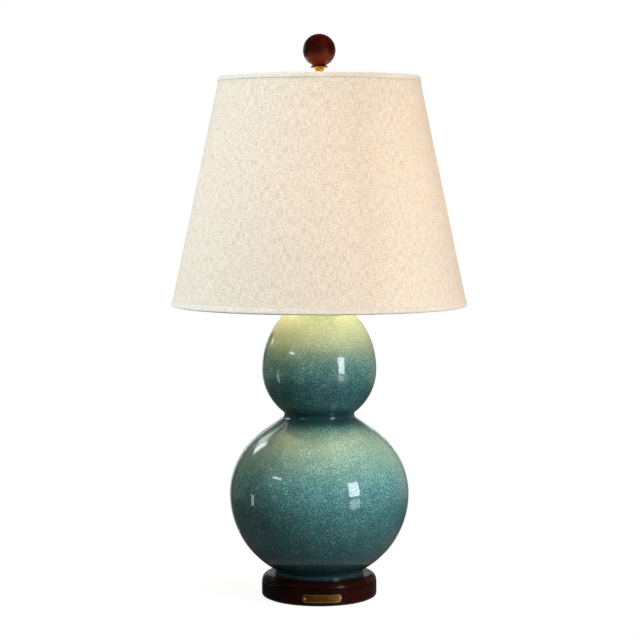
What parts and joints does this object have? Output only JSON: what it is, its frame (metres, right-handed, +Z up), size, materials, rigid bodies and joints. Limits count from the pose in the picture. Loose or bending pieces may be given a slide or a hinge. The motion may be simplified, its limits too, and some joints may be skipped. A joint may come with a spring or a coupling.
{
  "type": "table lamp",
  "caption": "Table lamp: a glazed, crackled gourd-shaped ceramic body on a dark turned wooden base, under a tapered linen shade carried by a harp and a ball finial.",
  "frame": {"origin": "middle of the felt's underside, on the table", "axes": "+Z up, -Y towards the front with the nameplate, +X to the right seen from the front"},
  "size_m": [0.3809, 0.381, 0.7263],
  "materials": {
    "felt": "matt felt",
    "base_wood": "dark stained and lacquered",
    "finial_wood": "dark stained and polished",
    "plate_brass": "aged, bright on its rim",
    "brass": "polished",
    "plated_steel": "zinc plated",
    "plated_aluminium": "nickel plated",
    "black_plastic": "satin",
    "phenolic": "moulded",
    "card": "fibre card",
    "cork_rubber": "matt",
    "glaze": "glossy crackle glaze, celadon to teal",
    "bulb_glass": "frosted, lit",
    "clear_glass": "clear",
    "black_glass": "black",
    "solder": "dull",
    "filament": "coiled wire",
    "linen": "slubbed linen weave",
    "linen_hem": "folded linen tape",
    "styrene": "white sheet",
    "white_wire": "white enamel"
  },
  "bodies": {
    "lamp_base": {"felt_pad": "felt", "wooden_base": "base_wood", "nameplate": "plate_brass", "nameplate_pins": "plate_brass", "cord_bushing": "black_plastic", "rod_lower_washer": "plated_steel", "rod_lower_nut": "plated_steel", "lamp_rod": "plated_steel", "gourd_body": "glaze", "mouth_gasket": "cork_rubber", "vase_cap": "brass", "neck_spacer": "brass", "harp_saddle": "brass", "socket_cap": "brass", "socket_shell": "brass", "socket_liner": "card", "socket_core": "phenolic", "terminal_screws": "brass", "screw_shell": "plated_aluminium", "centre_contact": "brass", "switch_bushing": "brass"},
    "switch": {"switch_shaft": "plated_steel", "switch_knob": "black_plastic"},
    "bulb": {"bulb_glass": "bulb_glass", "bulb_screw_cap": "plated_aluminium", "bulb_insulator": "black_glass", "bulb_contact": "solder", "bulb_stem": "clear_glass", "bulb_filament": "filament"},
    "harp": {"harp_loop": "brass"},
    "sleeve_left": {"harp_sleeve_left": "brass"},
    "sleeve_right": {"harp_sleeve_right": "brass"},
    "harp_stud": {"harp_stud": "brass"},
    "shade": {"shade_fabric": "linen", "shade_liner": "styrene", "shade_top_trim": "linen_hem", "shade_bottom_trim": "linen_hem", "shade_top_ring": "white_wire", "shade_bottom_ring": "white_wire", "spider_washer": "brass", "spider_arms": "brass"},
    "finial": {"finial_base": "brass", "finial_ball": "finial_wood"}
  },
  "joints": [
    {"name": "harp_lift", "type": "slide", "parent": "lamp_base", "child": "harp", "axis": [0, 0, 1], "range_m": [0, 0.022]},
    {"name": "sleeve_left_slide", "type": "slide", "parent": "harp", "child": "sleeve_left", "axis": [0, 0, 1], "range_m": [0, 0.014]},
    {"name": "sleeve_right_slide", "type": "slide", "parent": "harp", "child": "sleeve_right", "axis": [0, 0, 1], "range_m": [0, 0.014]},
    {"name": "shade_swivel", "type": "hinge", "parent": "harp", "child": "harp_stud", "pos_m": [0, 0, 0.65333], "axis": [0, 0, 1], "continuous": true},
    {"name": "shade_lift", "type": "slide", "parent": "harp_stud", "child": "shade", "axis": [0, 0, 1], "range_m": [0, 0.31]},
    {"name": "finial_turn", "type": "hinge", "parent": "shade", "child": "finial", "pos_m": [0, 0, 0.66053], "axis": [0, 0, 1], "range_deg": [0, 1800]},
    {"name": "bulb_lift", "type": "slide", "parent": "lamp_base", "child": "bulb", "axis": [0, 0, 1], "range_m": [0, 0.03]},
    {"name": "switch_turn", "type": "hinge", "parent": "lamp_base", "child": "switch", "pos_m": [0, -0.0166, 0.42612], "axis": [0, -1, 0], "continuous": true}
  ]
}
